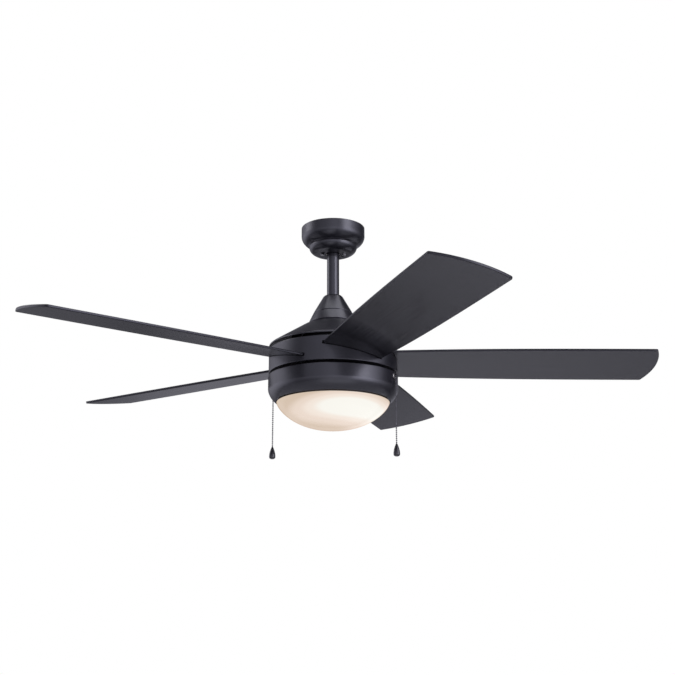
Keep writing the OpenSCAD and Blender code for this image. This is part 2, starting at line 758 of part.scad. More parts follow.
module reverse_switch() {
  color(PLASTIC) rotate([0, 0, 90]) difference() {
    translate([pan_r - reverse_in, -11, reverse_z - 5]) cube([reverse_in - sheet - 1.2, 22, 10]);
    translate([pan_r - 9, -6, reverse_z - 2.4]) cube([10, 12, 4.8]);
  }
}

module reverse_slider() {
  color(PLASTIC) rotate([0, 0, 90]) translate([pan_r - 8.6, -5.6, reverse_z - 2])
    cube([10.6, 6, 4]);
}

module chain_ferrules() {
  color(STEEL) for (a = [chain_angle, chain_angle + 180]) rotate([0, 0, a])
    translate([pan_r + 0.05, 0, outlet_z]) rotate([0, 90, 0]) difference() {
      union() {
        cylinder(r = 5.4, h = 0.9);
        translate([0, 0, 0.8]) cylinder(r1 = 4.9, r2 = 4.4, h = outlet_len - 0.8);
      }
      translate([0, 0, -1]) cylinder(r = bush_r + slip, h = 5);
    }
}

module socket_bracket() {
  tab_w = 2 * socket_r - 2;
  color(OPAL) union() {
    difference() {
      down(rim_r - 4.4, reflector_z, reflector_t);
      down(18, reflector_z + 1, reflector_t + 2);
    }
    around(3, 60) translate([pan_screw_r + 2, 0, 0])
      down(4, pan_z - sheet - plate_t, pan_z - sheet - plate_t - reflector_z + 0.5);
    for (s = [-1, 1]) translate([socket_x - 1.6, s * lamp_spacing / 2 - tab_w / 2, lamp_z - socket_r + 3])
      cube([1.6, tab_w, reflector_z - lamp_z + socket_r - 3.5]);
  }
}

module along_lamps() {
  for (s = [-1, 1]) translate([socket_x, s * lamp_spacing / 2, lamp_z]) rotate([0, 90, 0]) children();
}

module lamp_sockets() {
  color(OPAL) along_lamps() difference() {
    union() {
      cylinder(r = socket_r, h = socket_len - 4);
      translate([0, 0, socket_len - 4]) cylinder(r = socket_r - 1.5, h = 4);
    }
    translate([0, 0, socket_len - 27]) cylinder(r = cap_r + play, h = 28);
  }
}

module lamp_caps() {
  color(ZINC) along_lamps() union() {
    translate([0, 0, socket_len - 23]) cylinder(r = cap_r - 1, h = 23);
    for (k = [0:4]) translate([0, 0, socket_len - 21 + 3.8 * k]) rotate_extrude()
      polygon([[0, 0], [cap_r - 1, 0], [cap_r, 1.1], [cap_r - 1, 2.2], [0, 2.2]]);
    translate([0, 0, socket_len - 26.5]) cylinder(r1 = 4, r2 = 9, h = 3.6);
  }
}

module lamp_globes() {
  neck = globe_x - socket_x - socket_len;
  color(OPAL) along_lamps() translate([0, 0, socket_len]) difference() {
    union() {
      cylinder(r1 = cap_r, r2 = cap_r + 1, h = neck);
      translate([0, 0, neck]) sphere(r = globe_r);
    }
    translate([0, 0, neck]) sphere(r = globe_r - 1.2);
    translate([0, 0, -1]) cylinder(r = cap_r - 1.2, h = neck + 1);
  }
}

function bowl_line() = concat(
  [[bowl_r - 0.5, collar_z - 1.8], [bowl_r - 0.5, rim_z - 0.8]],
  [for (k = [0:20]) let (a = 90 * k / 20, x = pow(cos(a), 1.05), r = bulge_r * x)
    [r, rim_z - 2 - (bowl_depth - 2) * pow(1 - pow(x, 1.85), 0.5)]]);

module glass_bowl() {
  line = bowl_line();
  inner = inset(line, glass_t);
  last = len(line) - 1;
  color(OPAL) rotate_extrude() union() {
    polygon(concat([for (k = [0:last - 1]) line[k]], [[0, bowl_end_z], [0, bowl_end_z + glass_t]],
      [for (k = [last - 1:-1:0]) inner[k]]));
    translate([bowl_r - 1, collar_z - 7.4]) square([2.4, 5.6]);
  }
}

module bowl_collar() {
  color(BLACK) union() {
    rotate_extrude() polygon([
      [bowl_r - 4, collar_z], [bowl_r + 2.9, collar_z], [bowl_r + 2.9, collar_z - collar_h],
      [bowl_r - 0.2, collar_z - collar_h], [bowl_r - 0.2, collar_z - collar_h + 1.2],
      [bowl_r + 1.7, collar_z - collar_h + 1.2], [bowl_r + 1.7, collar_z - 1.2], [bowl_r - 4, collar_z - 1.2]]);
    for (k = [0:2]) rotate([0, 0, 120 * k]) intersection() {
      tube(rim_r + 3.8, bowl_r + 2.5, collar_z - collar_h + 1.5, 1.5);
      translate([bowl_r, -bowl_r * tan(tab_angle / 2), collar_z - collar_h - 1])
        cube([12, 2 * bowl_r * tan(tab_angle / 2), 4]);
    }
  }
}

// ---------------------------------------------------------------- wiring and pull chains

module supply_leads() {
  lead_r = 1.2;
  in_rod = rod_r - rod_wall - 1.08 * lead_r - play;
  color(COPPER) for (a = [45, 135, 225]) {
    low = [2.4 * cos(a), 2.4 * sin(a)];
    wire([
      [in_rod * cos(a), in_rod * sin(a), ball_z + ball_r * 0.5 + 10],
      [in_rod * cos(a), in_rod * sin(a), rod_end_z + 8],
      [low[0], low[1], shaft_top_z - 2],
      [low[0], low[1], pan_z - 22]], lead_r);
  }
}

function chain_end(beads) = outlet_z - (beads - 1) * bead_pitch;

module hanging_chain(a, beads) {
  color(STEEL) rotate([0, 0, a]) translate([chain_r, 0, 0]) union() {
    for (k = [0:beads - 1]) translate([0, 0, outlet_z - k * bead_pitch]) sphere(r = bead_d / 2, $fn = 32);
    translate([0, 0, chain_end(beads)]) cylinder(r = 0.5, h = outlet_z - chain_end(beads));
  }
}

module pull(a, beads) {
  top = chain_end(beads) - bead_d / 2 - 0.1;
  color(PLASTIC) rotate([0, 0, a]) translate([chain_r, 0, top]) rotate_extrude() polygon(concat(
    [[0, 0], [1.7, 0], [2.1, -1.2]],
    [for (k = [1:9]) let (u = k / 9) [2.1 + (fob_d / 2 - 2.1) * sin(90 * u), -1.2 - (fob_h * 0.86 - 1.2) * u]],
    [for (k = [1:6]) let (a = 90 * k / 6) [fob_d / 2 * (0.72 + 0.28 * cos(a)), -fob_h * (0.86 + 0.14 * sin(a))]],
    [[0, -fob_h]]));
}

// ---------------------------------------------------------------- the nodes

mounting_bracket();
canopy();
canopy_cover();
canopy_screws();
hanger_ball();
ball_pin();
ball_set_screw();
downrod();
yoke_cover();
coupling();
clevis_pin();
cotter_pin();
coupling_set_screws();
top_cover();
cover_screws();
motor_shaft();
stator_core();
stator_windings();
bearing_inner_races();
switch_plate();
shaft_nut();
light_pan();
speed_switch();
light_switch();
capacitor();
reverse_switch();
chain_stubs();
chain_ferrules();
socket_bracket();
lamp_sockets();
lamp_globes();
lamp_caps();
supply_leads();
rotor_core();
rotor_top_shell();
rotor_bottom_shell();
shell_screws();
bearing_outer_races();
blade_ring();
ring_screws();
iron_screws();
blade_screws();
blade_iron(1);  // blade_iron_1
blade_iron(2);  // blade_iron_2
blade_iron(3);  // blade_iron_3
blade_iron(4);  // blade_iron_4
blade_iron(5);  // blade_iron_5
blade(1);  // blade_1
blade(2);  // blade_2
blade(3);  // blade_3
blade(4);  // blade_4
blade(5);  // blade_5
bearing_balls();
glass_bowl();
bowl_collar();
reverse_slider();
hanging_chain(chain_angle, fan_beads);  // fan_chain
pull(chain_angle, fan_beads);  // fan_pull
hanging_chain(chain_angle + 180, light_beads);  // light_chain
pull(chain_angle + 180, light_beads);  // light_pull
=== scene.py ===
import math

import bmesh
import bpy
from mathutils import Matrix, Vector


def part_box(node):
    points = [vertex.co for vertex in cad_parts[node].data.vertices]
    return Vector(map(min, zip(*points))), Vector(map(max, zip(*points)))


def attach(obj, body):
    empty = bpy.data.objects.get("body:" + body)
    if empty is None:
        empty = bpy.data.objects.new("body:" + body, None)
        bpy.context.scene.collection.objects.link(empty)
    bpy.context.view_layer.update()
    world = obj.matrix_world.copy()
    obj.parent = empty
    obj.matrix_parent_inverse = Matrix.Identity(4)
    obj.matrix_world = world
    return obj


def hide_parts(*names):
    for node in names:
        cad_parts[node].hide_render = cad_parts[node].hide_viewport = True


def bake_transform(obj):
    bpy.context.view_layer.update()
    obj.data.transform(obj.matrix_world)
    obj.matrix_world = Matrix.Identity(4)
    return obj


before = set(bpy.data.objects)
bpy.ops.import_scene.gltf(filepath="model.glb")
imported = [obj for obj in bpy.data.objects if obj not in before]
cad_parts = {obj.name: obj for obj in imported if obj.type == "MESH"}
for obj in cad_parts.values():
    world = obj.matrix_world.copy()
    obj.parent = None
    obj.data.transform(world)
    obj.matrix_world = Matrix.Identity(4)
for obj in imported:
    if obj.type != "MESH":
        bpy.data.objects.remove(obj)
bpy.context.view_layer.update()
scene = bpy.context.scene


# The camera looks up at the fan from a standing eye's height, a little over two metres away.
# It is level from side to side and pitched up.
eye = (-0.0349, -2.2431, -0.8601)
look_up, look_round = 105.51, -0.89
camera_data = bpy.data.cameras.new("camera")
camera_data.lens = 60.50
camera_data.sensor_width = 36.0
camera_data.shift_x = 0.0066
camera_data.clip_end = 50.0
camera = bpy.data.objects.new("camera", camera_data)
camera.location = eye
camera.rotation_euler = (math.radians(look_up), 0.0, math.radians(look_round))
scene.collection.objects.link(camera)
scene.camera = camera
scene.view_settings.view_transform = "Standard"


# The two bead chains hang from the switches' bushes in the light pan's wall.
# They are nickel-plated hollow beads pressed round a wire, and a moulded black pull ends each one.
bead_across = 0.0032
bead_step = 0.00406
wire_across = 0.0005
chain_beads = {"fan": 34, "light": 31}


def new_material(name):
    material = bpy.data.materials.new(name)
    material.use_nodes = True
    nodes = material.node_tree.nodes
    return material, nodes, material.node_tree.links, nodes["Principled BSDF"]


def maths(nodes, links, operation, *values):
    """one Math node; each value is a plain number or the output it takes"""
    node = nodes.new("ShaderNodeMath")
    node.operation = operation
    for entry, value in zip(node.inputs, values):
        if isinstance(value, float):
            entry.default_value = value
        else:
            links.new(value, entry)
    return node.outputs["Value"]


def object_noise(nodes, links, scale, detail=3.0):
    """a noise on the piece's own coordinates, in metres, so it stays put when the piece moves"""
    place = nodes.new("ShaderNodeTexCoord")
    noise = nodes.new("ShaderNodeTexNoise")
    noise.inputs["Scale"].default_value = scale
    noise.inputs["Detail"].default_value = detail
    links.new(place.outputs["Object"], noise.inputs["Vector"])
    return noise.outputs["Fac"]


def spread(nodes, links, source, low, high, start=0.3, end=0.7, clamp=True):
    """turns a number that runs from start to end into one from low to high"""
    part = nodes.new("ShaderNodeMapRange")
    part.clamp = clamp
    part.inputs["From Min"].default_value = start
    part.inputs["From Max"].default_value = end
    part.inputs["To Min"].default_value = low
    part.inputs["To Max"].default_value = high
    links.new(source, part.inputs["Value"])
    return part.outputs["Result"]


def ramp(nodes, links, source, stops, smooth):
    """turns a number from 0 to 1 into a colour, through stops of (number, colour)"""
    node = nodes.new("ShaderNodeValToRGB")
    node.color_ramp.interpolation = smooth
    elements = node.color_ramp.elements
    for spot, _ in stops[1:-1]:
        elements.new(spot)
    for element, (spot, colour) in zip(elements, stops):
        element.position = spot
        element.color = (*colour, 1.0)
    links.new(source, node.inputs["Fac"])
    return node.outputs["Color"]


def tint(nodes, links, source, dark, light):
    """turns a noise into a colour between dark and light"""
    return ramp(nodes, links, source, ((0.35, dark), (0.65, light)), "LINEAR")


def multiplied(nodes, links, colour, other, share=1.0):
    """a colour times another one; other and share are plain values or outputs"""
    node = nodes.new("ShaderNodeMix")
    node.data_type = "RGBA"
    node.blend_type = "MULTIPLY"
    for key, value in (("A", colour), ("B", other), ("Factor", share)):
        if isinstance(value, (float, tuple)):
            node.inputs[key].default_value = value
        else:
            links.new(value, node.inputs[key])
    return node.outputs["Result"]


def bump(nodes, links, source, shader, distance, strength):
    relief = nodes.new("ShaderNodeBump")
    relief.inputs["Strength"].default_value = strength
    relief.inputs["Distance"].default_value = distance
    links.new(source, relief.inputs["Height"])
    links.new(relief.outputs["Normal"], shader.inputs["Normal"])


def nickel_material(name, dark, light, rough):
    material, nodes, links, shader = new_material(name)
    shader.inputs["Metallic"].default_value = 1.0
    blotch = object_noise(nodes, links, 180.0)
    fine = object_noise(nodes, links, 2600.0, 2.0)
    links.new(tint(nodes, links, blotch, dark, light), shader.inputs["Base Color"])
    links.new(spread(nodes, links, fine, rough * 0.8, rough * 1.25), shader.inputs["Roughness"])
    bump(nodes, links, fine, shader, 0.00002, 0.3)
    return material


def gloss_black(name):
    material, nodes, links, shader = new_material(name)
    shader.inputs["Coat Weight"].default_value = 0.6
    shader.inputs["Coat Roughness"].default_value = 0.05
    flow = object_noise(nodes, links, 60.0)
    fine = object_noise(nodes, links, 900.0, 2.0)
    dark, light = (0.006, 0.006, 0.008), (0.014, 0.013, 0.017)
    links.new(tint(nodes, links, flow, dark, light), shader.inputs["Base Color"])
    links.new(spread(nodes, links, fine, 0.10, 0.20), shader.inputs["Roughness"])
    bump(nodes, links, fine, shader, 0.00002, 0.2)
    return material


def socket_of(tree, name):
    return next(i.identifier for i in tree.interface.items_tree if i.name == name)


def bead_chain_tree(metal):
    """instances a bead on every point of the route and a wire link between each two"""
    tree = bpy.data.node_groups.new("bead chain", "GeometryNodeTree")
    face = tree.interface
    face.new_socket("Route", in_out="INPUT", socket_type="NodeSocketGeometry")
    for name in ("Bead radius", "Wire radius"):
        face.new_socket(name, in_out="INPUT", socket_type="NodeSocketFloat")
    face.new_socket("Chain", in_out="OUTPUT", socket_type="NodeSocketGeometry")
    n, l = tree.nodes, tree.links
    given, made = n.new("NodeGroupInput"), n.new("NodeGroupOutput")
    bead = n.new("GeometryNodeMeshUVSphere")
    bead.inputs["Segments"].default_value = 20
    bead.inputs["Rings"].default_value = 12
    l.new(given.outputs["Bead radius"], bead.inputs["Radius"])
    points = n.new("GeometryNodeMeshToPoints")
    l.new(given.outputs["Route"], points.inputs["Mesh"])
    beads = n.new("GeometryNodeInstanceOnPoints")
    l.new(points.outputs["Points"], beads.inputs["Points"])
    l.new(bead.outputs["Mesh"], beads.inputs["Instance"])
    line = n.new("GeometryNodeMeshToCurve")
    l.new(given.outputs["Route"], line.inputs["Mesh"])
    ring = n.new("GeometryNodeCurvePrimitiveCircle")
    ring.inputs["Resolution"].default_value = 8
    l.new(given.outputs["Wire radius"], ring.inputs["Radius"])
    wire = n.new("GeometryNodeCurveToMesh")
    l.new(line.outputs["Curve"], wire.inputs["Curve"])
    l.new(ring.outputs["Curve"], wire.inputs["Profile Curve"])
    wire.inputs["Fill Caps"].default_value = True
    smooth = n.new("GeometryNodeSetShadeSmooth")
    join = n.new("GeometryNodeJoinGeometry")
    l.new(beads.outputs["Instances"], join.inputs["Geometry"])
    l.new(wire.outputs["Mesh"], join.inputs["Geometry"])
    real = n.new("GeometryNodeRealizeInstances")
    l.new(join.outputs["Geometry"], real.inputs["Geometry"])
    l.new(real.outputs["Geometry"], smooth.inputs["Geometry"])
    finish = n.new("GeometryNodeSetMaterial")
    finish.inputs["Material"].default_value = metal
    l.new(smooth.outputs["Geometry"], finish.inputs["Geometry"])
    l.new(finish.outputs["Geometry"], made.inputs["Chain"])
    return tree


def grown(name, mesh, tree, values):
    """runs a tree on a mesh and returns the plain mesh it makes, as an object at the origin"""
    seed = bpy.data.objects.new(name + " seed", mesh)
    scene.collection.objects.link(seed)
    modifier = seed.modifiers.new("grow", "NODES")
    modifier.node_group = tree
    for key, value in values.items():
        modifier[socket_of(tree, key)] = value
    seed.update_tag()
    bpy.context.view_layer.update()
    made = seed.evaluated_get(bpy.context.evaluated_depsgraph_get())
    plain = bpy.data.meshes.new_from_object(made)
    bpy.data.objects.remove(seed)
    piece = bpy.data.objects.new(name, plain)
    scene.collection.objects.link(piece)
    plain.name = name
    return piece


def turned(name, outline, material, steps=96, crease=28.0, closed=False):
    """spins an outline of (radius, height) points into a mesh about the Z axis at the origin;
    edges that bend more than crease degrees stay sharp"""
    mesh = bpy.data.meshes.new(name)
    form = bmesh.new()
    rings = []
    for radius, height in outline:
        if radius < 1e-6:
            rings.append([form.verts.new((0.0, 0.0, height))])
        else:
            rings.append([form.verts.new((radius * math.cos(2 * math.pi * k / steps),
                                          radius * math.sin(2 * math.pi * k / steps), height))
                          for k in range(steps)])
    pairs = list(zip(rings, rings[1:]))
    if closed:
        pairs.append((rings[-1], rings[0]))
    for upper, lower in pairs:
        for k in range(steps):
            j = (k + 1) % steps
            if len(upper) == 1:
                form.faces.new((upper[0], lower[k], lower[j]))
            elif len(lower) == 1:
                form.faces.new((upper[k], lower[0], upper[j]))
            else:
                form.faces.new((upper[k], lower[k], lower[j], upper[j]))
    bmesh.ops.recalc_face_normals(form, faces=form.faces)
    for face in form.faces:
        face.smooth = True
    for edge in form.edges:
        if len(edge.link_faces) == 2 and edge.calc_face_angle(0.0) > math.radians(crease):
            edge.smooth = False
    form.to_mesh(mesh)
    form.free()
    mesh.materials.append(material)
    piece = bpy.data.objects.new(name, mesh)
    scene.collection.objects.link(piece)
    return piece


# the pull's outline: the lip round its top, its neck, the share of its height where it is
# widest, and how full its foot is
lip_radius, lip_depth = 0.0009, 0.0004
neck = 0.0013
waist = 0.80
foot_full = 2.7
side_steps, foot_steps = 16, 15

chain_metal = nickel_material("nickel beads", (0.085, 0.083, 0.095), (0.20, 0.195, 0.21), 0.24)
pull_black = gloss_black("gloss pull")
bead_tree = bead_chain_tree(chain_metal)
for kind in ("fan", "light"):
    chain_low, chain_high = (Vector(corner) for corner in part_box(kind + "_chain"))
    across = (chain_low + chain_high) / 2
    across.z = 0.0
    outlet_height = chain_high.z - bead_across / 2
    route = [across + Vector((0.0, 0.0, outlet_height - k * bead_step)) for k in range(chain_beads[kind])]
    line = bpy.data.meshes.new(kind + " route")
    line.from_pydata(route, [(k, k + 1) for k in range(len(route) - 1)], [])
    chain = grown(kind + "_bead_chain", line, bead_tree,
                  {"Bead radius": bead_across / 2, "Wire radius": wire_across / 2})
    # the pull is a drop: a narrow neck, sides that swell to a full waist, and a rounded foot
    low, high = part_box(kind + "_pull")
    tall, wide = high[2] - low[2], (high[0] - low[0]) / 2
    outline = [(0.0, high[2]), (lip_radius, high[2]), (neck, high[2] - lip_depth)]
    for k in range(1, side_steps + 1):
        u = k / side_steps
        outline.append((neck + (wide - neck) * math.sin(math.pi / 2 * u) ** 0.95,
                        high[2] - lip_depth - (waist * tall - lip_depth) * u))
    for k in range(1, foot_steps):
        u = k / foot_steps
        outline.append((wide * (1 - u ** foot_full) ** 0.5, high[2] - tall * (waist + (1 - waist) * u)))
    outline.append((0.0, low[2]))
    pull = turned(kind + "_pull_drop", outline, pull_black, steps=40, crease=60.0)
    pull.data.transform(Matrix.Translation(across))
    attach(pull, kind + "_pull")
    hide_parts(kind + "_pull")
    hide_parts(kind + "_chain")
    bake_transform(chain)


# A plain studio: a pale round floor well below the fan, and a surround of grey screens that the
# satin black finishes mirror. Soft boxes fill from below, wash the floor and light from above.
floor_height = -2.6
floor_reach = 4.6
floor_sides = 120
floor_lift = 0.5
floor_mesh = bpy.data.meshes.new("floor")
floor_bearings = [2 * math.pi * k / floor_sides for k in range(floor_sides)]
round_floor = [(floor_reach * math.cos(b), floor_reach * math.sin(b), floor_height) for b in floor_bearings]
floor_mesh.from_pydata(round_floor, [], [tuple(range(floor_sides))])
floor = bpy.data.objects.new("floor", floor_mesh)
scene.collection.objects.link(floor)
pale, pale_nodes, pale_links, pale_shader = new_material("pale floor")
pale_shader.inputs["Base Color"].default_value = (0.86, 0.86, 0.86, 1.0)
pale_shader.inputs["Roughness"].default_value = 0.8
pale_shader.inputs["Emission Color"].default_value = (0.93, 0.93, 0.93, 1.0)
direct = pale_nodes.new("ShaderNodeLightPath").outputs["Is Camera Ray"]
raised = maths(pale_nodes, pale_links, "MULTIPLY", direct, floor_lift)
pale_links.new(raised, pale_shader.inputs["Emission Strength"])
floor_mesh.materials.append(pale)

world = bpy.data.worlds.new("studio")
scene.world = world
world.use_nodes = True
sky, sky_links = world.node_tree.nodes, world.node_tree.links
seen, out = sky["Background"], sky["World Output"]
seen.inputs["Color"].default_value = (1.0, 1.0, 1.0, 1.0)
seen.inputs["Strength"].default_value = 1.0
lit = sky.new("ShaderNodeBackground")
lit.inputs["Strength"].default_value = 3.8
ray, both = sky.new("ShaderNodeLightPath"), sky.new("ShaderNodeMixShader")
sky_links.new(ray.outputs["Is Camera Ray"], both.inputs["Fac"])
sky_links.new(lit.outputs["Background"], both.inputs[1])
sky_links.new(seen.outputs["Background"], both.inputs[2])
sky_links.new(both.outputs["Shader"], out.inputs["Surface"])

# how bright the studio's screens are, by compass bearing: 0 faces the fan's front, 90 its right
screens = ((-180, 0.21), (-175, 0.19), (-169, 0.09), (-160, 0.12), (-146, 0.36), (-118, 0.72),
           (-102, 0.80), (-84, 0.48), (-66, 0.22), (-45, 0.40), (-20, 0.50), (0, 0.77), (26, 0.52),
           (43, 1.85), (52, 2.0), (62, 1.8), (76, 1.1), (92, 0.4), (115, 0.10), (128, 0.04),
           (150, 0.12), (168, 0.26), (180, 0.21))
# and how that falls off by height: straight down, the horizon, straight up
heights = ((-1.0, 0.6), (-0.62, 1.1), (-0.46, 0.28), (-0.38, 0.18), (-0.27, 1.2), (0.0, 1.6), (0.12, 1.3),
           (0.30, 1.0), (0.5, 0.9), (0.8, 0.35), (1.0, 0.2))


def band(source, low, high, stops):
    """a grey ramp over a number that runs from low to high, white at its brightest stop"""
    top = max(level for _, level in stops)
    greys = [((place - low) / (high - low), (level / top,) * 3) for place, level in stops]
    return ramp(sky, sky_links, spread(sky, sky_links, source, 0.0, 1.0, low, high), greys, "EASE")


heading = sky.new("ShaderNodeSeparateXYZ")
sky_links.new(sky.new("ShaderNodeTexCoord").outputs["Generated"], heading.inputs["Vector"])
toward_front = maths(sky, sky_links, "MULTIPLY", heading.outputs["Y"], -1.0)
bearing = maths(sky, sky_links, "ARCTAN2", heading.outputs["X"], toward_front)
round_about = band(maths(sky, sky_links, "DEGREES", bearing), -180.0, 180.0, screens)
up_down = band(heading.outputs["Z"], -1.0, 1.0, heights)
greys = multiplied(sky, sky_links, round_about, up_down)
cool = (0.88, 0.87, 1.0, 1.0)
sky_links.new(multiplied(sky, sky_links, greys, cool), lit.inputs["Color"])


def soft_box(name, place, aim, size, power, colour):
    """a rectangular lamp at place, turned to aim, with its size in metres and its power in watts"""
    light = bpy.data.lights.new(name, "AREA")
    light.shape = "RECTANGLE"
    light.size, light.size_y = size
    light.energy = power
    light.color = colour
    lamp = bpy.data.objects.new(name, light)
    lamp.location = place
    lamp.rotation_euler = (Vector(aim) - Vector(place)).to_track_quat("-Z", "Y").to_euler()
    scene.collection.objects.link(lamp)


soft_box("low fill", (0.3, -2.2, -2.35), (0.0, 0.0, -0.3), (3.2, 2.4), 14.0, (0.92, 0.92, 1.0))
soft_box("floor wash", (0.5, 2.9, -0.6), (0.5, 2.9, -2.6), (2.6, 1.6), 22.0, (0.92, 0.92, 1.0))
soft_box("overhead", (0.2, -0.3, 2.0), (0.0, 0.0, 0.0), (2.4, 2.4), 30.0, (0.95, 0.95, 1.0))
soft_box("high left", (-2.6, 0.5, 1.3), (0.0, 0.0, -0.25), (1.4, 1.4), 8.0, (0.98, 0.97, 1.0))
soft_box("high right", (2.3, -1.9, 1.0), (0.0, 0.0, -0.25), (1.4, 1.4), 7.0, (0.96, 0.96, 1.0))


# The housings are spun from sheet steel and powder coated a satin black.
# The canopy, its cover, the downrod, the blade ring, the light pan and the bowl's collar match.
def powder_coat(name, dark, light, rough, grain=2400.0):
    material, nodes, links, shader = new_material(name)
    shader.inputs["Specular IOR Level"].default_value = 0.8
    shader.inputs["Specular Tint"].default_value = (0.90, 0.90, 1.0, 1.0)
    shader.inputs["Coat Weight"].default_value = 0.25
    shader.inputs["Coat Roughness"].default_value = 0.22
    cloud = object_noise(nodes, links, 14.0)
    fine = object_noise(nodes, links, grain, 2.0)
    links.new(tint(nodes, links, cloud, dark, light), shader.inputs["Base Color"])
    links.new(spread(nodes, links, fine, rough * 0.85, rough * 1.15), shader.inputs["Roughness"])
    bump(nodes, links, fine, shader, 0.00004, 0.35)
    return material


def dress(node, material):
    """gives a CAD node's mesh its finish"""
    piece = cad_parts[node]
    piece.data.materials.clear()
    piece.data.materials.append(material)


housing_black = powder_coat("satin black housing", (0.0050, 0.0048, 0.0068), (0.0085, 0.0081, 0.0112), 0.32)
for node in ("canopy", "canopy_cover", "blade_ring", "light_pan", "bowl_collar"):
    dress(node, housing_black)
tube_black = powder_coat("satin black tube", (0.005, 0.005, 0.007), (0.008, 0.0077, 0.0108), 0.26, 1800.0)
dress("downrod", tube_black)


def wall_in(line, thickness):
    """the line's inner side, a sheet's thickness further in"""
    inner = []
    for k, (radius, height) in enumerate(line):
        before, after = line[max(k - 1, 0)], line[min(k + 1, len(line) - 1)]
        along = Vector((after[0] - before[0], after[1] - before[1])).normalized()
        inner.append((max(radius + along.y * thickness, 0.0), height - along.x * thickness))
    return inner


def rounded(corners, steps=4):
    """a line of (radius, height, bend) corners, each bent through an arc of about its bend radius"""
    line = [corners[0][:2]]
    for before, here, after in zip(corners, corners[1:], corners[2:]):
        spot = Vector(here[:2])
        back, ahead = Vector(before[:2]) - spot, Vector(after[:2]) - spot
        reach = min(here[2], back.length * 0.48, ahead.length * 0.48)
        start, end = spot + back.normalized() * reach, spot + ahead.normalized() * reach
        for k in range(steps + 1):
            t = k / steps
            line.append(tuple((1 - t) ** 2 * start + 2 * t * (1 - t) * spot + t * t * end))
    line.append(corners[-1][:2])
    return line


# The yoke cover is a spun cone that slides up the downrod, with a rolled shoulder at its top.
# Its foot stands on the top cover's neck with a fine open seam between them.
sheet = 0.0015
rod_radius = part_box("downrod")[1][0]
yoke_low, yoke_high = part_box("yoke_cover")
yoke_foot, yoke_top = yoke_high[0], yoke_high[2]
yoke_line = rounded([
    # the bead round the rod
    (rod_radius + 0.0009, yoke_top - 0.0007, 0), (rod_radius + 0.0016, yoke_top, 0.0005),
    # the rolled shoulder
    (rod_radius + 0.0046, yoke_top, 0.0014), (rod_radius + 0.0075, yoke_top - 0.0026, 0.0022),
    # the foot, after the straight cone
    (yoke_foot - 0.0004, yoke_low[2] + 0.0016, 0.0004), (yoke_foot - 0.0004, yoke_low[2] + 0.0002, 0.0004),
    (yoke_foot - 0.0012, yoke_low[2], 0)])
yoke_piece = turned("spun_yoke_cover", yoke_line + wall_in(yoke_line, sheet)[::-1], housing_black,
                    steps=128, closed=True)
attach(yoke_piece, "hanger")
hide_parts("yoke_cover")

# The top cover is spun in one piece: a neck, a shallow step where the neck meets the shoulder,
# the sloping shoulder itself and an upright lip. It is screwed to the coupling's flange.
cover_low, cover_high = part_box("top_cover")
cover_reach = cover_high[0]
neck_top, neck_foot = 0.0404, 0.051
shoulder_top = cover_high[2] - 0.0215
lip_top = cover_low[2] + 0.005
slope = (lip_top - shoulder_top) / (cover_reach - 0.0015 - neck_foot)
step_end = 0.0095
cover_line = rounded([
    # the neck's open end and its side
    (neck_top - 0.0010, cover_high[2] - 0.0004, 0), (neck_top, cover_high[2] - 0.0004, 0.0003),
    (neck_top + 0.0007, cover_high[2] - 0.0011, 0.0006), (neck_foot - 0.0003, shoulder_top + 0.0004, 0.0006),
    # the shallow step, out to where the shoulder begins
    (neck_foot - 0.0020, shoulder_top - 0.0022, 0.0006), (neck_foot + 0.0030, shoulder_top - 0.0050, 0.0008),
    (neck_foot + 0.0058, shoulder_top - 0.0046, 0.0008),
    (neck_foot + step_end, shoulder_top + step_end * slope, 0.0012),
    # the upright lip
    (cover_reach - 0.0022, lip_top - 0.0002, 0.0018), (cover_reach, lip_top - 0.0022, 0.0016),
    (cover_reach, cover_low[2] + 0.0006, 0.0005), (cover_reach - 0.0006, cover_low[2], 0.0004),
    (cover_reach - 0.0012, cover_low[2], 0)], 5)
cover_piece = turned("spun_top_cover", cover_line + wall_in(cover_line, sheet)[::-1], housing_black,
                     steps=160, closed=True)
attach(cover_piece, "hanger")
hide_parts("top_cover")


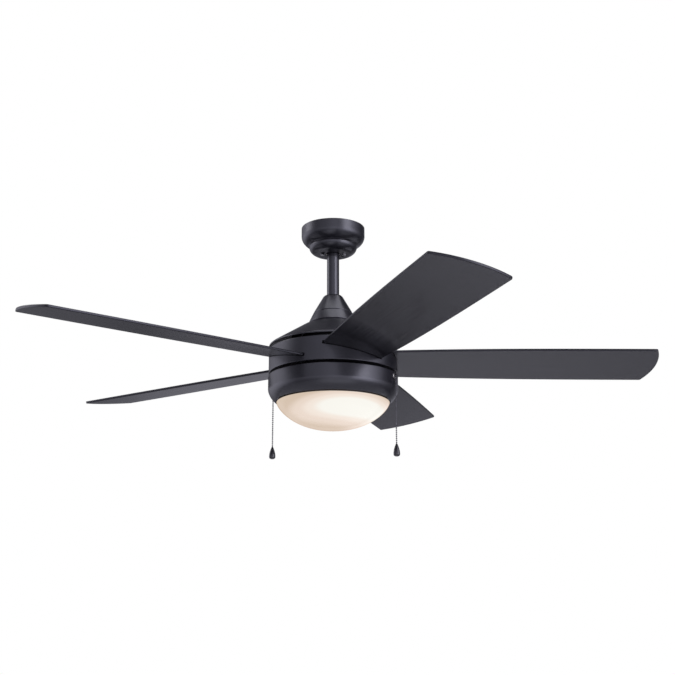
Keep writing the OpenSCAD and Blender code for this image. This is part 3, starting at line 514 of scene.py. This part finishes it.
# The glass bowl is blown opal glass, etched outside. The light of the two lamps above it is painted
# into the glass as a glow. Its neck stands inside the pan's rim and its shoulder swells out under it.
# The painted glow is whitest in front of the lamps, peach round that, and tan at the rim,
# painted shade where the pan shades it.
def opal_with_painted_glow(name, white_spot, spread_wide, spread_tall, neck_foot_height):
    """opal with a painted glow, whitest at white_spot, an (x, z), that fades over the two spreads"""
    material, nodes, links, shader = new_material(name)
    shader.inputs["Roughness"].default_value = 0.22
    shader.inputs["Specular IOR Level"].default_value = 0.35
    shader.inputs["Base Color"].default_value = (0.030, 0.025, 0.020, 1.0)
    place = nodes.new("ShaderNodeTexCoord")
    split = nodes.new("ShaderNodeSeparateXYZ")
    links.new(place.outputs["Object"], split.inputs["Vector"])
    squares = []
    for axis, spot, reach in (("X", white_spot[0], spread_wide), ("Z", white_spot[1], spread_tall)):
        away = spread(nodes, links, split.outputs[axis], 0.0, 1.0, spot, spot + reach, clamp=False)
        squares.append(maths(nodes, links, "POWER", maths(nodes, links, "ABSOLUTE", away), 2.0))
    away = maths(nodes, links, "SQRT", maths(nodes, links, "ADD", *squares))
    # painted glow: the colours of the lamps' light in the glass, from its brightest spot out to the tan rim
    painted_glow_colours = ((0.0, (0.95, 0.94, 0.875)), (0.27, (0.94, 0.925, 0.86)), (0.39, (0.89, 0.79, 0.70)),
            (0.50, (0.81, 0.68, 0.58)), (0.64, (0.67, 0.54, 0.425)), (1.0, (0.56, 0.44, 0.29)))
    painted_glow = ramp(nodes, links, maths(nodes, links, "MULTIPLY", away, 0.5), painted_glow_colours, "EASE")
    # painted shade: the painted glow darkens to amber towards the outline, where the glass looks thicker
    facing = nodes.new("ShaderNodeLayerWeight").outputs["Facing"]
    painted_outline_amber = (0.72, 0.62, 0.48, 1.0)
    edge = spread(nodes, links, facing, 0.0, 1.0, 0.80, 0.98)
    links.new(multiplied(nodes, links, painted_glow, painted_outline_amber, edge), shader.inputs["Emission Color"])
    # the neck inside the pan's rim stays unlit
    lit_strength, unlit_strength = 0.97, 0.02
    strength = spread(nodes, links, split.outputs["Z"], lit_strength, unlit_strength,
                      neck_foot_height - 0.0004, neck_foot_height + 0.0002)
    links.new(strength, shader.inputs["Emission Strength"])
    cloud = object_noise(nodes, links, 40.0)
    bump(nodes, links, cloud, shader, 0.0003, 0.15)
    return material


bowl_low, bowl_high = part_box("glass_bowl")
rim_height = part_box("light_pan")[0][2]
neck_radius = 0.1105
swell_radius = bowl_high[0]
glass_wall = 0.0032
swell_drop = 0.002
bowl_depth = rim_height - bowl_low[2]
bowl_steps = 48
bowl_line = [(neck_radius, bowl_high[2]), (neck_radius, rim_height - 0.0008)]
for k in range(bowl_steps + 1):
    share = math.cos(math.pi / 2 * k / bowl_steps) ** 1.1 if k < bowl_steps else 0.0
    drop = max(1 - share ** 2.2, 0.0) ** 0.7
    bowl_line.append((swell_radius * share, rim_height - swell_drop - (bowl_depth - swell_drop) * drop))
inner_line = [p for p in wall_in(bowl_line[:-1], glass_wall) if p[0] > 0.0005]
inner_line.append((0.0, bowl_low[2] + glass_wall))
# the painted glow's brightest spot, in front of the lamps, and how far it spreads
opal = opal_with_painted_glow("lit opal glass", (0.037, -0.4005), 0.108, 0.0232, rim_height - 0.0021)
bowl_piece = turned("opal_bowl", bowl_line[::-1] + inner_line, opal, steps=160, crease=50.0)
bowl_piece.visible_diffuse = False
bowl_piece.visible_glossy = False
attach(bowl_piece, "bowl")
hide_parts("glass_bowl")


# The blades are five boards of pressed wood fibre, alike, wrapped in a satin black film.
# Each runs out of its slot in the blade ring, pitched with its leading edge up, and its edges are eased.
blade_count = 5
blade_thickness = 0.005
blade_pitch = 10.3
ring_low, ring_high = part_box("blade_ring")
blade_height = (ring_low[2] + ring_high[2]) / 2 - 0.0009
ring_radius = 0.131
tip_reach = 0.660
tip_rise = 0.013
root_reach = ring_radius - 0.043
root_width, tip_width = 0.123, 0.1445
eased = 0.0011
long_edge_steps, tip_steps = 24, 12


def half_width(reach):
    """half the blade's width that far from the shaft: it widens towards the tip"""
    share = max(0.0, min(1.0, (tip_reach - tip_rise - reach) / (tip_reach - tip_rise - ring_radius)))
    return tip_width / 2 - (tip_width - root_width) / 2 * share ** 3


def blade_outline():
    """one side of the blade from its root to its tip, then the bowed tip, as (reach, half width)"""
    corner = tip_reach - tip_rise
    side = [(root_reach, root_width / 2 - 0.014), (root_reach + 0.020, root_width / 2 - 0.0004)]
    for k in range(long_edge_steps):
        reach = ring_radius + (corner - ring_radius) * k / long_edge_steps
        side.append((reach, half_width(reach)))
    side += [(corner - 0.0036, tip_width / 2), (corner - 0.0018, tip_width / 2 - 0.0004),
             (corner - 0.0005, tip_width / 2 - 0.0014), (corner + 0.0006, tip_width / 2 - 0.0034)]
    chord, bow = tip_width / 2 - 0.0034, tip_rise - 0.0006
    radius = (chord * chord + bow * bow) / (2 * bow)
    reach_angle = math.asin(chord / radius)
    for k in range(1, tip_steps):
        angle = reach_angle * (1 - k / tip_steps)
        side.append((tip_reach - radius + radius * math.cos(angle), radius * math.sin(angle)))
    return side


def blade_board(name, film):
    """the flat board along X at the origin, its long edges rounded, with a UV map in metres"""
    side = blade_outline()
    tip = (tip_reach, 0.0)
    loop = side + [tip] + [(x, -y) for x, y in side[::-1]]
    count = len(loop)
    half = blade_thickness / 2
    profile = [(eased, half), (eased * 0.30, half - eased * 0.30), (0.0, half - eased),
               (0.0, -half + eased), (eased * 0.30, -half + eased * 0.30), (eased, -half)]
    form = bmesh.new()
    rings = []
    for inward, height in profile:
        ring = []
        for k, (x, y) in enumerate(loop):
            before, after = loop[k - 1], loop[(k + 1) % count]
            one = Vector((x - before[0], y - before[1])).normalized()
            two = Vector((after[0] - x, after[1] - y)).normalized()
            normal = Vector((-one.y - two.y, one.x + two.x)).normalized()
            stretch = 1.0 / max(normal.dot(Vector((-one.y, one.x))), 0.5)
            inset = normal * inward * stretch
            ring.append(form.verts.new((x - inset.x, y - inset.y, height)))
        rings.append(ring)
    for upper, lower in zip(rings, rings[1:]):
        for k in range(count):
            j = (k + 1) % count
            form.faces.new((upper[k], upper[j], lower[j], lower[k])).smooth = True
    for ring in (rings[0], rings[-1]):
        for k in range(len(side) - 1):
            mirror, beyond = count - 1 - k, count - 2 - k
            form.faces.new((ring[k], ring[k + 1], ring[beyond], ring[mirror]))
        form.faces.new((ring[len(side) - 1], ring[len(side)], ring[len(side) + 1]))
    bmesh.ops.recalc_face_normals(form, faces=form.faces)
    grain = form.loops.layers.uv.new("UVMap")
    for face in form.faces:
        for corner in face.loops:
            x, y, z = corner.vert.co
            corner[grain].uv = (x, y + (z - half) * 2.0)
    mesh = bpy.data.meshes.new(name)
    form.to_mesh(mesh)
    form.free()
    mesh.materials.append(film)
    return mesh


def blade_set_tree(film):
    """sets the board round the shaft, pitched about its own length"""
    tree = bpy.data.node_groups.new("blade set", "GeometryNodeTree")
    face = tree.interface
    face.new_socket("Board", in_out="INPUT", socket_type="NodeSocketGeometry")
    face.new_socket("Blades", in_out="INPUT", socket_type="NodeSocketInt")
    face.new_socket("Pitch", in_out="INPUT", socket_type="NodeSocketFloat")
    face.new_socket("Height", in_out="INPUT", socket_type="NodeSocketFloat")
    face.new_socket("Blade set", in_out="OUTPUT", socket_type="NodeSocketGeometry")
    n, l = tree.nodes, tree.links
    given, made = n.new("NodeGroupInput"), n.new("NodeGroupOutput")
    tilt = n.new("ShaderNodeCombineXYZ")
    l.new(maths(n, l, "MULTIPLY", given.outputs["Pitch"], -1.0), tilt.inputs["X"])
    lift = n.new("ShaderNodeCombineXYZ")
    l.new(given.outputs["Height"], lift.inputs["Z"])
    pitched = n.new("GeometryNodeTransform")
    l.new(given.outputs["Board"], pitched.inputs["Geometry"])
    l.new(tilt.outputs["Vector"], pitched.inputs["Rotation"])
    l.new(lift.outputs["Vector"], pitched.inputs["Translation"])
    spots = n.new("GeometryNodePoints")
    l.new(given.outputs["Blades"], spots.inputs["Count"])
    step = maths(n, l, "DIVIDE", 2 * math.pi, given.outputs["Blades"])
    turn = maths(n, l, "MULTIPLY", n.new("GeometryNodeInputIndex").outputs["Index"], step)
    about = n.new("ShaderNodeCombineXYZ")
    l.new(turn, about.inputs["Z"])
    placed = n.new("GeometryNodeInstanceOnPoints")
    l.new(spots.outputs["Points"], placed.inputs["Points"])
    l.new(pitched.outputs["Geometry"], placed.inputs["Instance"])
    l.new(about.outputs["Vector"], placed.inputs["Rotation"])
    real = n.new("GeometryNodeRealizeInstances")
    l.new(placed.outputs["Instances"], real.inputs["Geometry"])
    finish = n.new("GeometryNodeSetMaterial")
    finish.inputs["Material"].default_value = film
    l.new(real.outputs["Geometry"], finish.inputs["Geometry"])
    l.new(finish.outputs["Geometry"], made.inputs["Blade set"])
    return tree


def black_film(name):
    """a black wood-grain film: long fine streaks along the blade, under a satin sheen"""
    material, nodes, links, shader = new_material(name)
    shader.inputs["Specular IOR Level"].default_value = 0.55
    shader.inputs["Specular Tint"].default_value = (0.90, 0.90, 1.0, 1.0)
    along = nodes.new("ShaderNodeUVMap")
    along.uv_map = "UVMap"
    drawn = nodes.new("ShaderNodeMapping")
    drawn.inputs["Scale"].default_value = (6.0, 260.0, 1.0)
    links.new(along.outputs["UV"], drawn.inputs["Vector"])
    grain = nodes.new("ShaderNodeTexNoise")
    grain.inputs["Scale"].default_value = 1.0
    grain.inputs["Detail"].default_value = 5.0
    links.new(drawn.outputs["Vector"], grain.inputs["Vector"])
    links.new(tint(nodes, links, grain.outputs["Fac"], (0.0028, 0.0027, 0.0036), (0.0072, 0.0068, 0.0094)),
              shader.inputs["Base Color"])
    links.new(spread(nodes, links, grain.outputs["Fac"], 0.20, 0.27), shader.inputs["Roughness"])
    bump(nodes, links, grain.outputs["Fac"], shader, 0.00003, 0.25)
    return material


film = black_film("black blade film")
blade_set = grown("fan_blades", blade_board("blade board", film), blade_set_tree(film),
                  {"Blades": blade_count, "Pitch": math.radians(blade_pitch), "Height": blade_height})
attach(blade_set, "rotor")
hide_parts(*(f"blade_{k + 1}" for k in range(blade_count)))

# A pressed steel iron under the motor carries each blade inside the ring.
iron_coat = powder_coat("iron coat", (0.008, 0.008, 0.009), (0.014, 0.014, 0.016), 0.4)
for k in range(blade_count):
    dress(f"blade_iron_{k + 1}", iron_coat)


# The switches' bushes come through the pan in nickel-plated ferrules.
dress("chain_ferrules", nickel_material("nickel ferrule", (0.48, 0.46, 0.45), (0.66, 0.64, 0.62), 0.24))
dress("chain_stubs", chain_metal)


# What the fan holds inside shows only through its gaps: cast shells, screws, bearings, switches, lamps.
cast = nickel_material("raw casting", (0.07, 0.07, 0.073), (0.13, 0.13, 0.135), 0.5)
for node in ("rotor_top_shell", "rotor_bottom_shell", "coupling"):
    dress(node, cast)
steel = nickel_material("plated steel", (0.40, 0.40, 0.41), (0.58, 0.58, 0.59), 0.32)
for node in ("canopy_screws", "ball_pin", "ball_set_screw", "clevis_pin", "cotter_pin", "coupling_set_screws",
             "cover_screws", "shell_screws", "ring_screws", "iron_screws", "blade_screws", "shaft_nut",
             "mounting_bracket", "switch_plate", "motor_shaft", "bearing_inner_races", "bearing_outer_races",
             "bearing_balls", "rotor_core", "stator_core", "lamp_caps"):
    dress(node, steel)
moulded = powder_coat("moulded black", (0.012, 0.012, 0.013), (0.020, 0.020, 0.021), 0.45, 1200.0)
for node in ("hanger_ball", "speed_switch", "light_switch", "capacitor", "reverse_switch",
             "reverse_slider", "supply_leads"):
    dress(node, moulded)
white = powder_coat("white enamel", (0.80, 0.79, 0.76), (0.88, 0.87, 0.84), 0.35)
for node in ("socket_bracket", "lamp_sockets", "lamp_globes"):
    dress(node, white)
dress("stator_windings", nickel_material("enamelled copper", (0.42, 0.18, 0.08), (0.55, 0.26, 0.12), 0.3))
